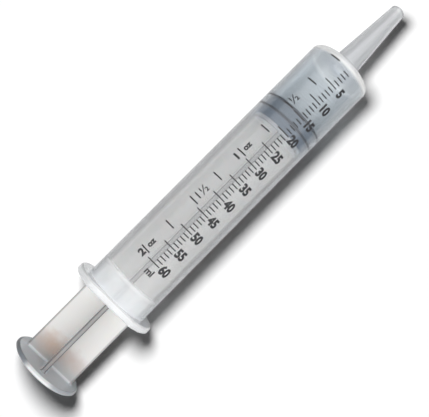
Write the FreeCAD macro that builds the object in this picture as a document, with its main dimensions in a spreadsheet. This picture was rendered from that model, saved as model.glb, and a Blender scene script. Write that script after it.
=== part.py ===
import FreeCAD, Part
import os

import Sketcher
from FreeCAD import Vector

# Catheter tip syringe of 60 ml, lying on its side with the plunger drawn to about 15 ml.
# It is three mouldings: a clear barrel with its flange and nozzle, a cross-ribbed plunger rod,
# and a rubber stopper snapped over the rod's head.
# The axis runs along X with the nozzle towards +X, and Z is up.
# Every piece is drawn from its own rear end at x = 0, and its Placement seats it in the syringe.

# Driving dimensions, in millimetres
SIZES = (
    ("bore_diameter", 26.64, "inside of the barrel, where the stopper slides"),
    ("barrel_wall", 1.45, "wall of the barrel's tube"),
    ("body_length", 135.2, "open end of the barrel to its shoulder"),
    ("shoulder_round", 2.3, "radius of the shoulder"),
    ("end_wall", 2.2, "wall that closes the barrel, measured along the axis"),
    ("end_cone", 1.2, "height of the cone between shoulder and nozzle"),
    ("nozzle_length", 34.3, "root of the nozzle to its mouth"),
    ("nozzle_root_diameter", 11.8, "nozzle where it leaves the end wall"),
    ("nozzle_mouth_diameter", 6.4, "nozzle at its mouth"),
    ("nozzle_root_flare", 0.5, "short flare between end wall and nozzle"),
    ("nozzle_mouth_bevel", 0.6, "outer bevel of the mouth"),
    ("lumen_diameter", 3.2, "straight channel behind the mouth"),
    ("lumen_straight", 8.0, "length of that straight channel"),
    ("lumen_root_diameter", 7.4, "channel where it meets the barrel's cavity"),
    ("flange_thickness", 3.1, "finger flange along the axis"),
    ("flange_reach", 4.6, "how far the finger wings stand out from the barrel"),
    ("flange_side_reach", 1.0, "how far the flats stand out from the barrel"),
    ("flange_corner_round", 4.0, "radius where a flat turns into a wing"),
    ("flange_rim_bevel", 0.6, "bevel along the flange's rims"),
    ("mouth_widening", 0.55, "how much the open end is opened out, on the radius"),
    ("mouth_widening_length", 3.0, "length of that opened end"),
    ("bead_place", 11.5, "retaining bead from the open end"),
    ("bead_width", 1.6, "retaining bead along the axis"),
    ("bead_height", 0.25, "how far the bead stands into the bore"),
    ("zero_gap", 0.5, "stopper to end wall when the syringe is empty"),
    ("drawn_length", 25.9, "how far the plunger is drawn back as shown"),
    ("stopper_length", 9.8, "rear face of the stopper to its front edge"),
    ("stopper_cone", 1.0, "height of the stopper's front cone"),
    ("stopper_nose_diameter", 9.0, "flat at the tip of the front cone"),
    ("seal_clearance", 0.05, "sealing ring to bore"),
    ("seal_height", 0.75, "how far a sealing ring stands out of the stopper"),
    ("seal_width", 1.7, "foot of a sealing ring along the axis"),
    ("seal_crest", 0.5, "crest of a sealing ring along the axis"),
    ("seal_spacing", 5.0, "between the two sealing rings"),
    ("seal_inset", 0.85, "front edge of the stopper to its front sealing ring"),
    ("socket_lip", 1.8, "lip of the stopper's socket along the axis"),
    ("socket_clearance", 0.05, "head and neck to the socket, on the radius"),
    ("axial_play", 0.1, "plunger to stopper along the axis"),
    ("neck_diameter", 11.0, "neck of the plunger, inside the lip"),
    ("head_diameter", 15.0, "head of the plunger, behind the lip"),
    ("head_length", 3.4, "head along the axis"),
    ("head_chamfer", 1.2, "lead-in that lets the head snap in"),
    ("rod_length", 134.65, "thumb rest's rear face to front disc's front face"),
    ("front_disc_clearance", 0.95, "front disc to bore, on the radius"),
    ("front_disc_thickness", 1.5, "front disc along the axis"),
    ("rib_clearance", 1.2, "edge of a rib to bore"),
    ("rib_thickness", 2.0, "each of the four ribs"),
    ("rib_edge_bevel", 0.5, "bevel along a rib's outer edges"),
    ("rib_foot_round", 0.9, "fillet where the ribs meet the thumb rest"),
    ("thumb_rest_overhang", 3.75, "how far the thumb rest stands out from the ribs"),
    ("thumb_rest_thickness", 1.9, "thumb rest along the axis"),
    ("thumb_rest_bevel", 0.6, "bevel along the thumb rest's rims"),
    ("grip_ring_spacing", 3.4, "between the grip rings on the thumb rest"),
    ("grip_ring_width", 1.0, "each grip ring's groove"),
    ("grip_ring_depth", 0.35, "each grip ring's groove"),
)

# Sizes that follow from them
WORKED_OUT = (
    ("bore_radius", "=bore_diameter / 2"),
    ("barrel_radius", "=bore_radius + barrel_wall"),
    ("shoulder_radius", "=barrel_radius - shoulder_round"),
    ("bore_length", "=body_length - end_wall"),
    ("cavity_length", "=bore_length + end_cone"),
    ("nozzle_root", "=body_length + end_cone"),
    ("nozzle_mouth", "=nozzle_root + nozzle_length"),
    ("lumen_step", "=nozzle_mouth - lumen_straight"),
    ("flange_radius", "=barrel_radius + flange_reach"),
    ("flange_side", "=barrel_radius + flange_side_reach"),
    ("bead_slope", "=bead_width / 4"),
    ("seal_radius", "=bore_radius - seal_clearance"),
    ("stopper_radius", "=seal_radius - seal_height"),
    ("front_seal", "=stopper_length - seal_inset"),
    ("rear_seal", "=front_seal - seal_spacing"),
    ("neck_radius", "=neck_diameter / 2"),
    ("head_radius", "=head_diameter / 2"),
    ("neck_length", "=socket_lip + 2 * axial_play"),
    ("socket_depth", "=socket_lip + head_length + axial_play"),
    ("rib_radius", "=bore_radius - rib_clearance"),
    ("front_disc_radius", "=bore_radius - front_disc_clearance"),
    ("thumb_rest_radius", "=rib_radius + thumb_rest_overhang"),
    ("stopper_place", "=bore_length - zero_gap - drawn_length - stopper_length"),
    ("rod_place", "=stopper_place - axial_play - rod_length"),
    ("middle", "=(nozzle_mouth + rod_place) / 2"),
    ("axis_height", "=max(thumb_rest_radius; flange_side)"),
)

GRIP_RINGS = 3

doc = FreeCAD.newDocument("catheter_tip_syringe")


def make_sheet():
    sheet = doc.addObject("Spreadsheet::Sheet", "Sizes")
    row = 1
    for alias, value, note in SIZES:
        sheet.set(f"A{row}", alias)
        sheet.set(f"B{row}", str(value))
        sheet.set(f"C{row}", note)
        sheet.setAlias(f"B{row}", alias)
        row += 1
    for alias, formula in WORKED_OUT:
        sheet.set(f"A{row}", alias)
        sheet.set(f"B{row}", formula)
        sheet.setAlias(f"B{row}", alias)
        row += 1
    doc.recompute()
    return sheet


sheet = make_sheet()


def number(formula):
    """The value of a formula in the sheet's names."""
    return float(sheet.evalExpression(formula))


def bind(feature, path, formula):
    """Ties a property to a formula, whose names are cells of the sheet."""
    for alias in sorted(names_in(formula), key=len, reverse=True):
        formula = replace_word(formula, alias, f"Sizes.{alias}")
    feature.setExpression(path, formula)


def names_in(formula):
    words = "".join(c if c.isalnum() or c == "_" else " " for c in formula).split()
    known = {entry[0] for entry in SIZES} | {entry[0] for entry in WORKED_OUT}
    return {word for word in words if word in known}


def replace_word(formula, word, new):
    """Replaces a whole word, and leaves longer names that hold it alone."""
    pieces = formula.split(word)
    result = pieces[0]
    for piece in pieces[1:]:
        before = result[-1:]
        after = piece[:1]
        alone = not (before.isalnum() or before in ("_", ".")) and not (after.isalnum() or after == "_")
        result += (new if alone else word) + piece
    return result


def new_body(label):
    body = doc.addObject("PartDesign::Body", label)
    body.Label = label
    return body


def origin_plane(body, role):
    return next(item for item in body.Origin.OriginFeatures if item.Role == role)


def new_sketch(body, name, role, offset=None):
    """A sketch on one of the body's own planes, moved along its normal by a formula."""
    sketch = body.newObject("Sketcher::SketchObject", name)
    sketch.AttachmentSupport = (origin_plane(body, role), [""])
    sketch.MapMode = "FlatFace"
    if offset:
        bind(sketch, "AttachmentOffset.Base.z", offset)
    return sketch


def hold(sketch, direction, index, formula):
    """Fixes one coordinate of a line's start to a formula."""
    value = number(formula)
    axis = -2 if direction == "DistanceX" else -1
    if abs(value) < 1e-9:
        sketch.addConstraint(Sketcher.Constraint("PointOnObject", index, 1, axis))
        return
    ends = (-1, 1, index, 1) if value > 0 else (index, 1, -1, 1)
    which = sketch.addConstraint(Sketcher.Constraint(direction, *ends, abs(value)))
    bind(sketch, f"Constraints[{which}]", formula if value > 0 else f"-({formula})")


def draw_outline(sketch, corners):
    """A closed outline of straight lines, each corner given by two formulas."""
    points = [Vector(number(across), number(up), 0) for across, up in corners]
    first = sketch.GeometryCount
    for start, end in zip(points, points[1:] + points[:1]):
        sketch.addGeometry(Part.LineSegment(start, end))
    last = first + len(points) - 1
    for index in range(first, last + 1):
        following = first if index == last else index + 1
        sketch.addConstraint(Sketcher.Constraint("Coincident", index, 2, following, 1))
    for index, (across, up) in enumerate(corners, first):
        hold(sketch, "DistanceX", index, across)
        hold(sketch, "DistanceY", index, up)


def revolve(body, name, corners):
    """Turns an outline of (place along the axis, radius) corners about the X axis."""
    sketch = new_sketch(body, f"{name}_section", "XZ_Plane")
    draw_outline(sketch, corners)
    turned = body.newObject("PartDesign::Revolution", name)
    turned.Profile = sketch
    turned.ReferenceAxis = (sketch, ["H_Axis"])
    turned.Angle = 360
    doc.recompute()
    return turned


def ring_edges(feature, rings):
    """Names of the round edges about the axis at the given (place, radius) formulas."""
    wanted = [(number(place), number(radius)) for place, radius in rings]
    found = []
    for index, edge in enumerate(feature.Shape.Edges, 1):
        if not isinstance(edge.Curve, Part.Circle):
            continue
        centre = edge.Curve.Center
        for place, radius in wanted:
            if abs(centre.x - place) < 1e-4 and abs(edge.Curve.Radius - radius) < 1e-4:
                found.append(f"Edge{index}")
    return found


def round_off(body, name, base, edges, radius):
    """Rounds edges of the feature before it."""
    rounding = body.newObject("PartDesign::Fillet", name)
    rounding.Base = (base, edges)
    bind(rounding, "Radius", radius)
    doc.recompute()
    return rounding


def break_edges(body, name, base, edges, size):
    """Bevels edges of the feature before it at 45 degrees."""
    bevel = body.newObject("PartDesign::Chamfer", name)
    bevel.Base = (base, edges)
    bind(bevel, "Size", size)
    doc.recompute()
    return bevel


def along_axis(edge):
    start, end = edge.Vertexes[0].Point, edge.Vertexes[-1].Point
    return abs(start.x - end.x) > 1e-3 and (start - end).cross(Vector(1, 0, 0)).Length < 1e-6


def distance_from_axis(point):
    return (point.y ** 2 + point.z ** 2) ** 0.5


# Barrel: tube, shoulder, end wall, nozzle with its channel, and finger flange in one moulding
def make_barrel():
    body = new_body("barrel")
    bead_start = "bead_place - bead_width / 2"
    bead_end = "bead_place + bead_width / 2"
    bead_radius = "bore_radius - bead_height"
    tube = revolve(body, "barrel_tube", (
        ("0", "bore_radius + mouth_widening"),
        ("0", "flange_radius"),
        ("flange_thickness", "flange_radius"),
        ("flange_thickness", "barrel_radius"),
        ("body_length", "barrel_radius"),
        ("body_length", "shoulder_radius"),
        ("nozzle_root", "nozzle_root_diameter / 2"),
        ("nozzle_mouth", "nozzle_mouth_diameter / 2"),
        ("nozzle_mouth", "lumen_diameter / 2"),
        ("lumen_step", "lumen_diameter / 2"),
        ("cavity_length", "lumen_root_diameter / 2"),
        ("bore_length", "bore_radius"),
        (bead_end, "bore_radius"),
        (f"{bead_end} - bead_slope", bead_radius),
        (f"{bead_start} + bead_slope", bead_radius),
        (bead_start, "bore_radius"),
        ("mouth_widening_length", "bore_radius"),
    ))
    return body, tube


def cut_flange_flats(body, tube):
    """Two straight sides, above and below, keep the syringe from rolling."""
    sketch = new_sketch(body, "flange_sides", "YZ_Plane")
    beyond = "(flange_radius + flange_reach)"
    for side in ("", "-"):
        draw_outline(sketch, (
            (f"-{beyond}", f"{side}flange_side"),
            (beyond, f"{side}flange_side"),
            (beyond, f"{side}{beyond}"),
            (f"-{beyond}", f"{side}{beyond}"),
        ))
    before = tube.Shape.Volume
    cut = body.newObject("PartDesign::Pocket", "flange_flats")
    cut.Profile = sketch
    cut.Reversed = True
    bind(cut, "Length", "flange_thickness")
    doc.recompute()
    assert cut.Shape.Volume < before, "the flange's flats were not cut"
    return cut


def finish_barrel(body, shape):
    corners = [
        f"Edge{index}"
        for index, edge in enumerate(shape.Shape.Edges, 1)
        if along_axis(edge) and distance_from_axis(edge.CenterOfMass) > number("flange_side")
    ]
    shape = round_off(body, "flange_corners", shape, corners, "flange_corner_round")
    rims = [
        f"Edge{index}"
        for index, edge in enumerate(shape.Shape.Edges, 1)
        if is_flange_rim(edge)
    ]
    shape = break_edges(body, "flange_rims", shape, rims, "flange_rim_bevel")
    shoulder = ring_edges(shape, (("body_length", "barrel_radius"),))
    shape = round_off(body, "shoulder", shape, shoulder, "shoulder_round * 0.999")
    root = ring_edges(shape, (("nozzle_root", "nozzle_root_diameter / 2"),))
    shape = break_edges(body, "nozzle_flare", shape, root, "nozzle_root_flare")
    mouth = ring_edges(shape, (("nozzle_mouth", "nozzle_mouth_diameter / 2"),))
    break_edges(body, "nozzle_mouth_edge", shape, mouth, "nozzle_mouth_bevel")


def is_flange_rim(edge):
    """True on an outer edge of the flange's front or rear face."""
    box = edge.BoundBox
    flat = box.XLength < 1e-6
    at_face = abs(box.XMin) < 1e-6 or abs(box.XMin - number("flange_thickness")) < 1e-6
    middle = edge.valueAt((edge.FirstParameter + edge.LastParameter) / 2)
    return flat and at_face and distance_from_axis(middle) > number("barrel_radius + flange_side_reach / 2")


# Stopper: a rubber plug with two sealing rings, a shallow front cone and a socket for the head
def seal_corners(place):
    """The ring's section, from its rear foot to its front foot."""
    return (
        (f"{place} - seal_width / 2", "stopper_radius"),
        (f"{place} - seal_crest / 2", "seal_radius"),
        (f"{place} + seal_crest / 2", "seal_radius"),
        (f"{place} + seal_width / 2", "stopper_radius"),
    )


def make_stopper():
    body = new_body("stopper")
    neck_hole = "neck_radius + socket_clearance"
    head_hole = "head_radius + socket_clearance"
    revolve(body, "stopper_plug", (
        ("0", neck_hole),
        ("0", "stopper_radius"),
        *seal_corners("rear_seal"),
        *seal_corners("front_seal")[:3],
        ("stopper_length", "stopper_radius"),
        ("stopper_length + stopper_cone", "stopper_nose_diameter / 2"),
        ("stopper_length + stopper_cone", "0"),
        ("socket_depth + axial_play", "0"),
        ("socket_depth + axial_play", f"{head_hole} - head_chamfer"),
        ("socket_depth + axial_play - head_chamfer", head_hole),
        ("socket_lip", head_hole),
        ("socket_lip", neck_hole),
    ))
    return body


# Plunger rod: thumb rest, four ribs in a cross, front disc, neck and snap-in head
def thumb_rest_corners():
    """The rear face's outline, with the grooves between its grip rings."""
    corners = [("0", "0")]
    for ring in range(1, GRIP_RINGS + 1):
        middle = f"{ring} * grip_ring_spacing"
        corners += [
            ("0", f"{middle} - grip_ring_width / 2"),
            ("grip_ring_depth", f"{middle} - grip_ring_width / 4"),
            ("grip_ring_depth", f"{middle} + grip_ring_width / 4"),
            ("0", f"{middle} + grip_ring_width / 2"),
        ]
    return (
        *corners,
        ("0", "thumb_rest_radius"),
        ("thumb_rest_thickness", "thumb_rest_radius"),
        ("thumb_rest_thickness", "0"),
    )


def make_plunger_rod():
    body = new_body("plunger_rod")
    rest = revolve(body, "thumb_rest", thumb_rest_corners())
    ribs = pad_ribs(body)
    foot = rib_foot_edges(ribs)
    shape = round_off(body, "rib_feet", ribs, foot, "rib_foot_round")
    rims = ring_edges(shape, (
        ("0", "thumb_rest_radius"),
        ("thumb_rest_thickness", "thumb_rest_radius"),
    ))
    break_edges(body, "thumb_rest_rims", shape, rims, "thumb_rest_bevel")
    assert ribs.Shape.Volume > rest.Shape.Volume, "the ribs were not added"
    revolve(body, "front_disc_and_head", (
        ("rod_length - front_disc_thickness", "0"),
        ("rod_length - front_disc_thickness", "front_disc_radius"),
        ("rod_length", "front_disc_radius"),
        ("rod_length", "neck_radius"),
        ("rod_length + neck_length", "neck_radius"),
        ("rod_length + neck_length", "head_radius"),
        ("rod_length + neck_length + head_length - head_chamfer", "head_radius"),
        ("rod_length + neck_length + head_length", "head_radius - head_chamfer"),
        ("rod_length + neck_length + head_length", "0"),
    ))
    return body


def pad_ribs(body):
    """The cross of four ribs, from inside the thumb rest to inside the front disc."""
    half, reach = "rib_thickness / 2", "rib_radius"
    half_edge, shoulder = f"{half} - rib_edge_bevel", f"{reach} - rib_edge_bevel"
    quarter = ((half_edge, reach), (half, shoulder), (half, half), (shoulder, half), (reach, half_edge))
    corners = []
    for across_sign, up_sign, order in (("", "", 1), ("", "-", -1), ("-", "-", 1), ("-", "", -1)):
        for across, up in quarter[::order]:
            corners.append((f"{across_sign}({across})", f"{up_sign}({up})"))
    sketch = new_sketch(body, "rib_cross", "YZ_Plane", "thumb_rest_thickness / 2")
    draw_outline(sketch, corners)
    ribs = body.newObject("PartDesign::Pad", "ribs")
    ribs.Profile = sketch
    bind(ribs, "Length", "rod_length - (thumb_rest_thickness + front_disc_thickness) / 2")
    doc.recompute()
    return ribs


def rib_foot_edges(feature):
    """The edges where the ribs stand on the thumb rest's front face."""
    face = number("thumb_rest_thickness")
    found = []
    for index, edge in enumerate(feature.Shape.Edges, 1):
        box = edge.BoundBox
        on_face = box.XLength < 1e-6 and abs(box.XMin - face) < 1e-6
        if on_face and isinstance(edge.Curve, Part.Line):
            found.append(f"Edge{index}")
    return found


def seat(body, place):
    """Moves a piece to its place along the axis and lifts the axis above the table."""
    bind(body, "Placement.Base.x", f"{place} - middle")
    bind(body, "Placement.Base.z", "axis_height")


barrel, tube = make_barrel()
finish_barrel(barrel, cut_flange_flats(barrel, tube))
stopper = make_stopper()
plunger_rod = make_plunger_rod()
seat(barrel, "0")
seat(stopper, "stopper_place")
seat(plunger_rod, "rod_place")
doc.recompute()

# Nothing is written unless every feature came out sound
for item in doc.Objects:
    assert not {"Invalid", "Error"} & set(item.State), f"{item.Name}: {item.State}"
os.makedirs("parts", exist_ok=True)
for body in (barrel, stopper, plunger_rod):
    shape = body.Shape
    assert not shape.isNull() and shape.isValid() and len(shape.Solids) == 1, body.Label
    shape.exportStep(f"parts/{body.Label}.step")
    box = shape.BoundBox
    print(f"{body.Label}: {shape.Volume:.0f} mm3, x {box.XMin:.2f} to {box.XMax:.2f}, "
          f"y {box.YMin:.2f} to {box.YMax:.2f}, z {box.ZMin:.2f} to {box.ZMax:.2f}")
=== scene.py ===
import math

import bmesh
import bpy
from mathutils import Matrix, Vector


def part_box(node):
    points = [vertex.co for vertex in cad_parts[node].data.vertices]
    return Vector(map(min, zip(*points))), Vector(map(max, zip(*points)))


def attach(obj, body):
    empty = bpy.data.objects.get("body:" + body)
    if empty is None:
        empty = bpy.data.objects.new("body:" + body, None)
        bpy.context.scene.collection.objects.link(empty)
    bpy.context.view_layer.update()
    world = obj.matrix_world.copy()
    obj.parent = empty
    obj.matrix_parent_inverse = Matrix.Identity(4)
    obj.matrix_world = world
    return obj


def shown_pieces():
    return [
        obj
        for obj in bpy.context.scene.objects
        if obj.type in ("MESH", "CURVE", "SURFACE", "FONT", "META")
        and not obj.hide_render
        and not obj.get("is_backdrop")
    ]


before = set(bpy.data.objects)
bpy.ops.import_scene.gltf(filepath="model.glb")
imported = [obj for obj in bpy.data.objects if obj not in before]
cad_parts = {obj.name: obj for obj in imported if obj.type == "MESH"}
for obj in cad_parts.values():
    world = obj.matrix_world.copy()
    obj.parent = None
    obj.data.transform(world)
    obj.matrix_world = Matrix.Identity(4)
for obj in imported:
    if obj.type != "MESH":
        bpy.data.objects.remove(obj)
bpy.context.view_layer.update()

MM = 0.001

# Places read from the imported parts, in metres. The axis runs along +X, and the nozzle points that way.
OPEN_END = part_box("barrel")[0].x
ROD_LOW, ROD_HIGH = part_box("plunger_rod")
THUMB_FACE = ROD_LOW.x
AXIS_HEIGHT = (ROD_LOW.z + ROD_HIGH.z) / 2
STOPPER_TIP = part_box("stopper")[1].x

# Barrel and stopper
BORE_RADIUS = 13.32 * MM
TUBE_RADIUS = 14.77 * MM
TIP_TO_FRONT_SEAL = 1.85 * MM
SEAL_SPACING = 5.0 * MM

# Scales printed on the tube: zero is level with the front seal of the empty stopper
SCALE_ZERO = OPEN_END + 131.84 * MM
MILLILITRE = 1.7935 * MM
OUNCE = 29.57 * MILLILITRE
INK_HEIGHT = 0.03 * MM
STRIP_WIDTH = 0.6 * MM
CAPITAL_HEIGHT = 0.7  # of the lettering at size 1


# Node helpers

def new_material(name):
    """A material with nodes, and its shader."""
    material = bpy.data.materials.new(name)
    material.use_nodes = True
    return material, material.node_tree.nodes["Principled BSDF"]


def add_node(material, kind, **inputs):
    """A node of this kind; an underscore in an input's name stands for a space."""
    node = material.node_tree.nodes.new(kind)
    for name, value in inputs.items():
        node.inputs[name.replace("_", " ")].default_value = value
    return node


def link(material, output, entry):
    material.node_tree.links.new(output, entry)


def object_place(material, stretch=(1, 1, 1)):
    """Object coordinates, stretched for patterns that run along one direction."""
    place = add_node(material, "ShaderNodeTexCoord")
    mapping = add_node(material, "ShaderNodeMapping", Scale=stretch)
    link(material, place.outputs["Object"], mapping.inputs["Vector"])
    return mapping.outputs["Vector"]


def noise(material, place, scale, detail=2.0, roughness=0.5):
    """Grey noise, mostly between 0.3 and 0.7; scale is in cells per metre."""
    texture = add_node(material, "ShaderNodeTexNoise", Scale=scale, Detail=detail, Roughness=roughness)
    link(material, place, texture.inputs["Vector"])
    return texture.outputs["Fac"]


def coordinate(material, direction="X"):
    """The place along X, or along another direction, in metres."""
    place = add_node(material, "ShaderNodeTexCoord")
    split = add_node(material, "ShaderNodeSeparateXYZ")
    link(material, place.outputs["Object"], split.inputs["Vector"])
    return split.outputs[direction]


def from_axis(material):
    """Distance from the syringe's axis, in metres."""
    place = add_node(material, "ShaderNodeTexCoord")
    across = add_node(material, "ShaderNodeMapping", Location=(0, 0, -AXIS_HEIGHT), Scale=(0, 1, 1))
    length = material.node_tree.nodes.new("ShaderNodeVectorMath")
    length.operation = "LENGTH"
    link(material, place.outputs["Object"], across.inputs["Vector"])
    link(material, across.outputs["Vector"], length.inputs[0])
    return length.outputs["Value"]


def soft_spot(material, x, y, reach, strength):
    """A ragged blot centred on x and y at every height; reach is its half length and half width."""
    place = add_node(material, "ShaderNodeTexCoord")
    flat = add_node(material, "ShaderNodeMapping", Location=(-x / reach[0], -y / reach[1], 0),
                    Scale=(1 / reach[0], 1 / reach[1], 0))
    length = material.node_tree.nodes.new("ShaderNodeVectorMath")
    length.operation = "LENGTH"
    link(material, place.outputs["Object"], flat.inputs["Vector"])
    link(material, flat.outputs["Vector"], length.inputs[0])
    unevenness = spread(material, noise(material, object_place(material), 350, 3), 0.3, 0.7, -0.15, 0.15)
    ragged = calculate(material, "ADD", length.outputs["Value"], unevenness)
    return spread(material, ragged, 0.1, 1.0, strength, 0.0)


def calculate(material, operation, first, second):
    """Arithmetic on two outputs, or on an output and a number."""
    node = material.node_tree.nodes.new("ShaderNodeMath")
    node.operation = operation
    link(material, first, node.inputs[0])
    if isinstance(second, (int, float)):
        node.inputs[1].default_value = second
    else:
        link(material, second, node.inputs[1])
    return node.outputs["Value"]


def bands(material, place, start, stops):
    """Colours or greys one after the other from start; a stop is a distance in millimetres and a value."""
    length = stops[-1][0]
    node = add_node(material, "ShaderNodeValToRGB")
    elements = node.color_ramp.elements
    while len(elements) < len(stops):
        elements.new(0.5)
    for element, (distance, colour) in zip(elements, stops):
        element.position = distance / length
        element.color = (*colour, 1) if isinstance(colour, tuple) else (colour, colour, colour, 1)
    link(material, spread(material, place, start, start + length * MM), node.inputs["Fac"])
    return node.outputs["Color"]


def spread(material, value, low, high, to_low=0.0, to_high=1.0):
    """Turns low to high into to_low to to_high, and stays within them."""
    node = add_node(material, "ShaderNodeMapRange")
    for name, number in (("From Min", low), ("From Max", high), ("To Min", to_low), ("To Max", to_high)):
        node.inputs[name].default_value = number
    link(material, value, node.inputs["Value"])
    return node.outputs["Result"]


def mixed_colour(material, share, first, second):
    """first where share is 0 and second where it is 1; either is a colour or a node's output."""
    node = material.node_tree.nodes.new("ShaderNodeMix")
    node.data_type = "RGBA"
    link(material, share, node.inputs["Factor"])
    for entry, colour in ((node.inputs[6], first), (node.inputs[7], second)):
        if isinstance(colour, tuple):
            entry.default_value = (*colour, 1)
        else:
            link(material, colour, entry)
    return node.outputs[2]


def add_bump(material, shader, height, distance, strength):
    bump = add_node(material, "ShaderNodeBump", Strength=strength, Distance=distance)
    link(material, height, bump.inputs["Height"])
    link(material, bump.outputs["Normal"], shader.inputs["Normal"])


# Finishes

def barrel_plastic():
    """Frosted clear plastic: whiter where it is thick, with painted highlights on the flange's front rim and
    on the shoulder, painted shade on the upper wing and in the middle of the end wall, and faint flow lines
    along the tube.
    """
    material, shader = new_material("barrel_plastic")
    place = coordinate(material)
    flow = noise(material, object_place(material, (0.12, 1, 1)), 500, 3)
    cloud = noise(material, object_place(material), 90, 2)
    # Flange with its front rim whitened as a painted highlight, mouth up to its bead, tube, end wall with
    # shoulder whiter where the plastic is thick and brightened further as a painted highlight, nozzle with
    # its mouth
    clean = bands(material, place, OPEN_END, (
        (0, (0.92, 0.93, 0.94)),
        (2.3, (0.92, 0.93, 0.94)),
        (2.5, (0.98, 0.98, 0.98)),
        (3.0, (0.98, 0.98, 0.98)),
        (3.2, (0.83, 0.85, 0.875)),
        (10.8, (0.85, 0.865, 0.875)),
        (11.8, (0.90, 0.91, 0.92)),
        (13, (0.74, 0.745, 0.75)),
        (24, (0.73, 0.735, 0.74)),
        (36, (0.69, 0.695, 0.70)),
        (92, (0.68, 0.69, 0.70)),
        (97, (0.64, 0.68, 0.73)),
        (112, (0.645, 0.69, 0.72)),
        (131.6, (0.71, 0.75, 0.78)),
        (132.6, (0.96, 0.96, 0.95)),
        (134.6, (0.96, 0.96, 0.95)),
        (136, (0.67, 0.68, 0.695)),
        (167.8, (0.70, 0.705, 0.715)),
        (168.8, (0.86, 0.87, 0.88)),
        (169.8, (0.78, 0.79, 0.80)),
        (170.7, (0.36, 0.37, 0.38)),
    ))
    end_wall = bands(material, place, OPEN_END, (
        (0, 0.0),
        (131.8, 0.0),
        (132.6, 1.0),
        (134.6, 1.0),
        (136, 0.0),
        (170, 0.0),
    ))
    # Painted shade: the middle of the end wall, round the nozzle's channel, is darker and bluish
    near_channel = spread(material, from_axis(material), 4.0 * MM, 9.5 * MM, 1.0, 0.0)
    end_wall_painted_shade = calculate(material, "MULTIPLY", end_wall, near_channel)
    clean = mixed_colour(material, end_wall_painted_shade, clean, (0.47, 0.51, 0.59))
    cloudy = spread(material, cloud, 0.3, 0.7, 0.0, 0.12)
    plastic = mixed_colour(material, cloudy, clean, (0.50, 0.52, 0.54))
    # Painted shade: a soft grey blot darkens the face of the upper wing
    upper_wing_painted_shade = soft_spot(material, OPEN_END + 3.8 * MM, 17.5 * MM, (1.8 * MM, 5 * MM), 0.9)
    plastic = mixed_colour(material, upper_wing_painted_shade, plastic, (0.30, 0.32, 0.33))
    # The wall darkens where it is seen edge on, but not at the flange and hardly at the end wall
    slant = add_node(material, "ShaderNodeLayerWeight", Blend=0.5)
    edge_on = spread(material, slant.outputs["Facing"], 0.42, 0.70, 0.0, 0.85)
    off_flange = spread(material, place, OPEN_END + 3.4 * MM, OPEN_END + 4.5 * MM)
    edge_on = calculate(material, "MULTIPLY", edge_on, off_flange)
    off_end_wall = spread(material, end_wall, 0.0, 1.0, 1.0, 0.2)
    edge_on = calculate(material, "MULTIPLY", edge_on, off_end_wall)
    link(material, mixed_colour(material, edge_on, plastic, (0.30, 0.31, 0.33)), shader.inputs["Base Color"])
    link(material, spread(material, flow, 0.3, 0.7, 0.12, 0.20), shader.inputs["Roughness"])
    clearness = bands(material, place, OPEN_END, (
        (0, 0.40),
        (2.3, 0.40),
        (2.5, 0.25),
        (3.0, 0.25),
        (3.2, 0.59),
        (10.8, 0.64),
        (11.8, 0.45),
        (13, 0.82),
        (92, 0.84),
        (96, 0.89),
        (106, 0.88),
        (111, 0.79),
        (131.6, 0.77),
        (132.8, 0.38),
        (135, 0.35),
        (137, 0.62),
        (170, 0.62),
    ))
    link(material, clearness, shader.inputs["Transmission Weight"])
    shader.inputs["IOR"].default_value = 1.49
    add_bump(material, shader, flow, 0.01 * MM, 0.3)
    return material


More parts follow.
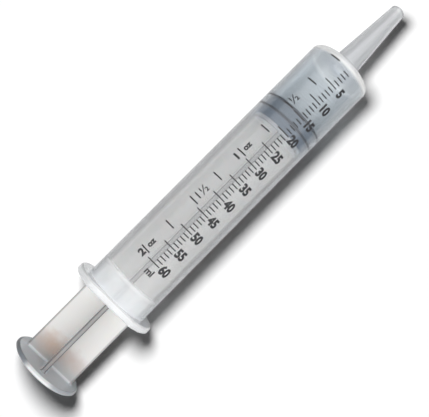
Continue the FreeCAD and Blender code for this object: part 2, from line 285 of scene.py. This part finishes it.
def rod_plastic():
    """Natural plastic, off-white, with painted shade on the thumb rest's face and on the ribs beside it,
    orange and pink patches there, and painted light and shade round the thumb rest's rim.
    """
    material, shader = new_material("rod_plastic")
    place = coordinate(material)
    radius = from_axis(material)
    cloud = noise(material, object_place(material), 60, 3)
    plain = (0.76, 0.755, 0.74)
    # Thumb rest with its face in painted shade and a painted highlight at its front rim, ribs in painted
    # shade beside it, front disc
    shade_and_highlight_bands = bands(material, place, THUMB_FACE, (
        (0.0, (0.55, 0.59, 0.635)),
        (2.0, (0.55, 0.59, 0.635)),
        (2.2, (0.86, 0.87, 0.88)),
        (2.7, (0.80, 0.81, 0.82)),
        (3.2, (0.50, 0.505, 0.505)),
        (7.0, (0.525, 0.52, 0.515)),
        (9.0, (0.58, 0.575, 0.565)),
        (10.5, (0.66, 0.655, 0.645)),
        (12.5, plain),
        (30, (0.74, 0.735, 0.72)),
        (132.8, (0.74, 0.735, 0.72)),
        (133.1, (0.96, 0.96, 0.95)),
        (134.7, (0.96, 0.96, 0.95)),
    ))
    # Orange and pink patches beside the thumb rest
    orange = soft_spot(material, THUMB_FACE + 9.0 * MM, 4.6 * MM, (6.5 * MM, 8.5 * MM), 0.8)
    pink = soft_spot(material, THUMB_FACE + 9.5 * MM, -6.0 * MM, (5.5 * MM, 8.5 * MM), 0.75)
    tinted = mixed_colour(material, orange, shade_and_highlight_bands, (0.56, 0.40, 0.31))
    tinted = mixed_colour(material, pink, tinted, (0.53, 0.43, 0.39))
    # Painted shade on the ribs' outer edges, most of all on the rib that faces up
    edge_painted_shade = bands(material, radius, 0, (
        (0, 0.0),
        (11.2, 0.0),
        (11.6, 0.85),
        (12.0, 0.85),
        (12.1, 0.65),
        (14.0, 0.0),
    ))
    height = coordinate(material, "Z")
    upper_rib = spread(material, height, AXIS_HEIGHT + 3 * MM, AXIS_HEIGHT + 9 * MM, 0.5, 1.0)
    edge_painted_shade = calculate(material, "MULTIPLY", edge_painted_shade, upper_rib)
    off_thumb_rest = spread(material, place, THUMB_FACE + 1.95 * MM, THUMB_FACE + 2.15 * MM)
    edge_painted_shade = calculate(material, "MULTIPLY", edge_painted_shade, off_thumb_rest)
    edged = mixed_colour(material, edge_painted_shade, tinted, (0.10, 0.10, 0.105))
    cloudy = spread(material, cloud, 0.3, 0.7, 0.0, 0.10)
    aged = mixed_colour(material, cloudy, edged, (0.60, 0.60, 0.61))
    # Painted light and shade round the thumb rest's rim: white across the middle, grey-blue below, darkest
    # at the top edge
    rim = bands(material, radius, 0, (
        (0, 0.0),
        (14.8, 0.0),
        (15.2, 1.0),
        (16.0, 1.0),
    ))
    rim_painted_light_and_shade = bands(material, coordinate(material, "Y"), -16 * MM, (
        (0, (0.40, 0.43, 0.46)),
        (9, (0.50, 0.53, 0.56)),
        (11.5, (0.84, 0.86, 0.87)),
        (21, (0.84, 0.86, 0.87)),
        (24, (0.28, 0.30, 0.33)),
        (32, (0.10, 0.11, 0.12)),
    ))
    link(material, mixed_colour(material, rim, aged, rim_painted_light_and_shade), shader.inputs["Base Color"])
    grain = noise(material, object_place(material), 900, 3)
    link(material, spread(material, grain, 0.3, 0.7, 0.30, 0.44), shader.inputs["Roughness"])
    shader.inputs["Subsurface Weight"].default_value = 0.15
    shader.inputs["Subsurface Scale"].default_value = 0.8 * MM
    add_bump(material, shader, grain, 0.015 * MM, 0.4)
    return material


def stopper_rubber():
    """Grey-blue rubber with a dull, slightly dusty skin."""
    material, shader = new_material("stopper_rubber")
    dust = noise(material, object_place(material), 700, 4, 0.6)
    cloud = noise(material, object_place(material), 120, 2)
    clean = mixed_colour(material, cloud, (0.078, 0.118, 0.165), (0.103, 0.143, 0.195))
    link(material, mixed_colour(material, spread(material, dust, 0.5, 0.9), clean, (0.16, 0.18, 0.22)),
         shader.inputs["Base Color"])
    link(material, spread(material, dust, 0.3, 0.7, 0.45, 0.65), shader.inputs["Roughness"])
    add_bump(material, shader, dust, 0.02 * MM, 0.5)
    return material


def pressed_rubber():
    """The same rubber where it lies wet against the wall: darker, with no dust on it."""
    material, shader = new_material("pressed_rubber")
    cloud = noise(material, object_place(material), 300, 2)
    link(material, mixed_colour(material, cloud, (0.035, 0.042, 0.055), (0.06, 0.07, 0.09)),
         shader.inputs["Base Color"])
    link(material, spread(material, cloud, 0.3, 0.7, 0.5, 0.7), shader.inputs["Roughness"])
    return material


def print_ink():
    """Black ink, thin and a little broken where the tube is dimpled."""
    material, shader = new_material("print_ink")
    speckle = noise(material, object_place(material), 1500, 3)
    link(material, mixed_colour(material, speckle, (0.012, 0.012, 0.014), (0.045, 0.045, 0.05)),
         shader.inputs["Base Color"])
    link(material, spread(material, speckle, 0.3, 0.7, 0.35, 0.6), shader.inputs["Roughness"])
    add_bump(material, shader, speckle, 0.005 * MM, 0.3)
    return material


def floor_paint():
    """White to the eye, in gloss and through clear plastic, but a pale grey where it throws light back."""
    material, shader = new_material("floor_paint")
    path = material.node_tree.nodes.new("ShaderNodeLightPath")
    seen = calculate(material, "MAXIMUM", path.outputs["Is Camera Ray"], path.outputs["Is Glossy Ray"])
    seen = calculate(material, "MAXIMUM", seen, path.outputs["Is Transmission Ray"])
    link(material, mixed_colour(material, seen, (0.45, 0.45, 0.45), (0.97, 0.97, 0.97)),
         shader.inputs["Base Color"])
    shader.inputs["Roughness"].default_value = 0.9
    shader.inputs["Specular IOR Level"].default_value = 0.0
    return material


# Prints

def wrap_round_tube(bm):
    """Bends a flat print, X along the tube and Y round it, onto the outside of the tube."""
    reach = max(abs(vertex.co.y) for vertex in bm.verts)
    strips = math.ceil(reach / STRIP_WIDTH)
    for strip in range(-strips, strips + 1):
        everything = bm.verts[:] + bm.edges[:] + bm.faces[:]
        bmesh.ops.bisect_plane(bm, geom=everything, dist=1e-7,
                               plane_co=(0, strip * STRIP_WIDTH, 0), plane_no=(0, 1, 0))
    for vertex in bm.verts:
        angle = vertex.co.y / TUBE_RADIUS
        radius = TUBE_RADIUS + vertex.co.z
        vertex.co.y = radius * math.sin(angle)
        vertex.co.z = AXIS_HEIGHT + radius * math.cos(angle)


def finish_print(bm, name, ink):
    """Wraps a flat print round the tube and makes it a piece that rides on the barrel."""
    wrap_round_tube(bm)
    mesh = bpy.data.meshes.new(name)
    bm.to_mesh(mesh)
    bm.free()
    mesh.materials.append(ink)
    piece = bpy.data.objects.new(name, mesh)
    bpy.context.scene.collection.objects.link(piece)
    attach(piece, "barrel")


def add_line(bm, x, low_angle, high_angle, width):
    """A flat line across the tube, between two angles in degrees from the top."""
    low, high = (math.radians(angle) * TUBE_RADIUS for angle in (low_angle, high_angle))
    made = bmesh.ops.create_cube(bm, size=1)["verts"]
    bmesh.ops.scale(bm, vec=(width, high - low, INK_HEIGHT), verts=made)
    bmesh.ops.translate(bm, vec=(x, (low + high) / 2, INK_HEIGHT / 2), verts=made)


def add_words(bm, words, x, angle, height, turn, stretch, weight):
    """Flat lettering centred at a place on the tube; turn is in degrees from reading towards the nozzle.

    height is a capital's, stretch widens the letters, and weight thickens their strokes.
    """
    curve = bpy.data.curves.new("lettering", "FONT")
    curve.body = words
    curve.align_x = "CENTER"
    curve.align_y = "CENTER"
    curve.offset = weight
    curve.extrude = 0.5
    curve.resolution_u = 3
    carrier = bpy.data.objects.new("lettering", curve)
    bpy.context.scene.collection.objects.link(carrier)
    shown = carrier.evaluated_get(bpy.context.evaluated_depsgraph_get())
    mesh = bpy.data.meshes.new_from_object(shown)
    bpy.data.objects.remove(carrier)
    size = height / CAPITAL_HEIGHT
    place = Matrix.Translation((x, math.radians(angle) * TUBE_RADIUS, INK_HEIGHT / 2))
    turned = Matrix.Rotation(math.radians(turn), 4, "Z")
    sized = Matrix.Diagonal((size * stretch, size, INK_HEIGHT, 1))
    mesh.transform(place @ turned @ sized)
    bm.from_mesh(mesh)
    bpy.data.meshes.remove(mesh)


def millilitre_scale(ink):
    """A line for each millilitre, with a longer one and its numeral at every fifth."""
    line_start, short_end, long_end = -14.2, -2.6, 9.3
    numeral_angle, unit_angle = -25.0, -8
    lines = bmesh.new()
    numerals = bmesh.new()
    for volume in range(1, 61):
        x = SCALE_ZERO - volume * MILLILITRE
        long_line = volume % 5 == 0
        add_line(lines, x, line_start, long_end if long_line else short_end, width=0.48 * MM)
        if long_line:
            add_words(numerals, str(volume), x, numeral_angle,
                      height=3.8 * MM, turn=-90, stretch=0.82, weight=0.05)
    unit_place = OPEN_END + 20.3 * MM
    add_words(numerals, "ml", unit_place, unit_angle, height=2.7 * MM, turn=-90, stretch=0.95, weight=0.04)
    finish_print(lines, "scale_lines_ml", ink)
    finish_print(numerals, "numerals_ml", ink)


def ounce_scale(ink):
    """A line for each quarter of an ounce from 0 to 2, with numerals at every half."""
    line_start, line_end, numeral_angle = 12.6, 30.5, 21.5
    lines = bmesh.new()
    numerals = bmesh.new()
    for quarter in range(0, 9):
        x = SCALE_ZERO - quarter * OUNCE / 4
        add_line(lines, x, line_start, line_end, width=0.6 * MM)
    for words, place, height, weight in (
        ("½", 108.6, 3.4, 0.012),
        ("1", 76.3, 3.0, 0.05),
        ("oz", 82.0, 2.4, 0.045),
        ("1½", 56.9, 3.4, 0.012),
        ("2", 23.9, 3.0, 0.05),
        ("oz", 29.0, 2.4, 0.045),
    ):
        x = OPEN_END + place * MM
        add_words(numerals, words, x, numeral_angle, height * MM, turn=0, stretch=1.05, weight=weight)
    finish_print(lines, "scale_lines_oz", ink)
    finish_print(numerals, "numerals_oz", ink)


# Seals

def seal_contacts(rubber):
    """Where the two sealing rings are pressed flat on the bore, so that they show through the clear wall."""
    front = STOPPER_TIP - TIP_TO_FRONT_SEAL
    half_foot, half_crest = 0.55 * MM, 0.45 * MM
    foot_radius, crest_radius = BORE_RADIUS - 0.3 * MM, BORE_RADIUS + 0.03 * MM
    bm = bmesh.new()
    for middle in (front, front - SEAL_SPACING):
        corners = [
            (middle - half_foot, foot_radius),
            (middle - half_crest, crest_radius),
            (middle + half_crest, crest_radius),
            (middle + half_foot, foot_radius),
        ]
        outline = [bm.verts.new((x, 0, AXIS_HEIGHT + radius)) for x, radius in corners]
        edges = [bm.edges.new(pair) for pair in zip(outline, outline[1:] + outline[:1])]
        bmesh.ops.spin(bm, geom=outline + edges, cent=(0, 0, AXIS_HEIGHT), axis=(1, 0, 0),
                       angle=math.tau, steps=160, use_merge=True)
    bmesh.ops.recalc_face_normals(bm, faces=bm.faces)
    for face in bm.faces:
        face.smooth = True
    mesh = bpy.data.meshes.new("seal_contacts")
    bm.to_mesh(mesh)
    bm.free()
    mesh.materials.append(rubber)
    piece = bpy.data.objects.new("seal_contacts", mesh)
    bpy.context.scene.collection.objects.link(piece)
    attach(piece, "stopper")


# Studio

def make_floor():
    """A plain floor that reaches far past the picture, level with the table."""
    bm = bmesh.new()
    bmesh.ops.create_grid(bm, x_segments=1, y_segments=1, size=2.5)
    mesh = bpy.data.meshes.new("floor")
    bm.to_mesh(mesh)
    bm.free()
    mesh.materials.append(floor_paint())
    floor = bpy.data.objects.new("floor", mesh)
    bpy.context.scene.collection.objects.link(floor)
    floor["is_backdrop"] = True
    return floor


def make_camera():
    """Looks down at the syringe, turned so that the nozzle points up and to the right."""
    place = Vector((-21.2, 8.8, 251.8)) * MM
    target = Vector((-10.1, -3.4, 15.9)) * MM
    top_of_picture = Vector((0.7097, 0.7045, -0.003))
    backward = (place - target).normalized()
    right = top_of_picture.cross(backward).normalized()
    up = backward.cross(right)
    data = bpy.data.cameras.new("camera")
    data.lens = 47.9
    data.sensor_width = 36
    data.clip_start = 0.01
    data.clip_end = 20
    camera = bpy.data.objects.new("camera", data)
    turn = Matrix((right, up, backward)).transposed().to_4x4()
    camera.matrix_world = Matrix.Translation(place) @ turn
    bpy.context.scene.collection.objects.link(camera)
    bpy.context.scene.camera = camera


def light_group(name, pieces):
    """A collection that says which pieces a lamp lights, or which ones shade it."""
    group = bpy.data.collections.new(name)
    for piece in pieces:
        group.objects.link(piece)
    return group


def make_lamp(name, kind, energy, place, lit):
    """A lamp at a place in metres that faces the middle of the floor and lights only the given objects."""
    data = bpy.data.lights.new(name, kind)
    data.energy = energy
    lamp = bpy.data.objects.new(name, data)
    lamp.location = place
    lamp.rotation_mode = "QUATERNION"
    lamp.rotation_quaternion = place.to_track_quat("Z", "Y")
    bpy.context.scene.collection.objects.link(lamp)
    lamp.light_linking.receiver_collection = light_group(f"{name}_lights", lit)
    return lamp


def make_key(floor):
    """A lamp beside the camera that draws the soft shadow; it makes the whole floor just white."""
    key = make_lamp("key", "POINT", 39.6, Vector((0.004, 0.071, 0.220)), [floor])
    key.data.shadow_soft_size = 0.033
    key.data.use_soft_falloff = True
    key.data.use_nodes = True
    # Constant falloff, divided by how steeply the light falls on the floor
    nodes, links = key.data.node_tree.nodes, key.data.node_tree.links
    even = nodes.new("ShaderNodeLightFalloff")
    even.inputs["Strength"].default_value = 1
    ray = nodes.new("ShaderNodeNewGeometry")
    split = nodes.new("ShaderNodeSeparateXYZ")
    slant = nodes.new("ShaderNodeMath")
    slant.operation = "ABSOLUTE"
    levelled = nodes.new("ShaderNodeMath")
    levelled.operation = "DIVIDE"
    links.new(ray.outputs["Normal"], split.inputs["Vector"])
    links.new(split.outputs["Z"], slant.inputs[0])
    links.new(even.outputs["Constant"], levelled.inputs[0])
    links.new(slant.outputs["Value"], levelled.inputs[1])
    links.new(levelled.outputs["Value"], nodes["Emission"].inputs["Strength"])
    key.visible_camera = False
    key.visible_glossy = False
    key.visible_transmission = False


def make_softbox():
    """A large lamp overhead that lights the syringe; only rod and stopper shade it, not the clear barrel."""
    softbox = make_lamp("softbox", "AREA", 15.2, Vector((-0.05, -0.03, 0.70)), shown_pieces())
    softbox.data.size = 1.8
    softbox.visible_transmission = False
    inner = [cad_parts["plunger_rod"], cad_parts["stopper"]]
    softbox.light_linking.blocker_collection = light_group("softbox_shadows", inner)


def make_surround():
    """A white background to the eye that gives only a faint light."""
    world = bpy.data.worlds.new("surround")
    world.use_nodes = True
    nodes, links = world.node_tree.nodes, world.node_tree.links
    lit = nodes["Background"]
    lit.inputs["Color"].default_value = (1, 1, 1, 1)
    lit.inputs["Strength"].default_value = 0.045
    seen = nodes.new("ShaderNodeBackground")
    seen.inputs["Color"].default_value = (1, 1, 1, 1)
    seen.inputs["Strength"].default_value = 1.0
    path = nodes.new("ShaderNodeLightPath")
    mix = nodes.new("ShaderNodeMixShader")
    links.new(path.outputs["Is Camera Ray"], mix.inputs["Fac"])
    links.new(lit.outputs["Background"], mix.inputs[1])
    links.new(seen.outputs["Background"], mix.inputs[2])
    links.new(mix.outputs["Shader"], nodes["World Output"].inputs["Surface"])
    bpy.context.scene.world = world


def give_finish(node, material):
    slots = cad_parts[node].data.materials
    slots.clear()
    slots.append(material)


bpy.context.scene.view_settings.view_transform = "Standard"
give_finish("barrel", barrel_plastic())
give_finish("plunger_rod", rod_plastic())
give_finish("stopper", stopper_rubber())
seal_contacts(pressed_rubber())
ink = print_ink()
millilitre_scale(ink)
ounce_scale(ink)
floor = make_floor()
make_camera()
make_key(floor)
make_softbox()
make_surround()
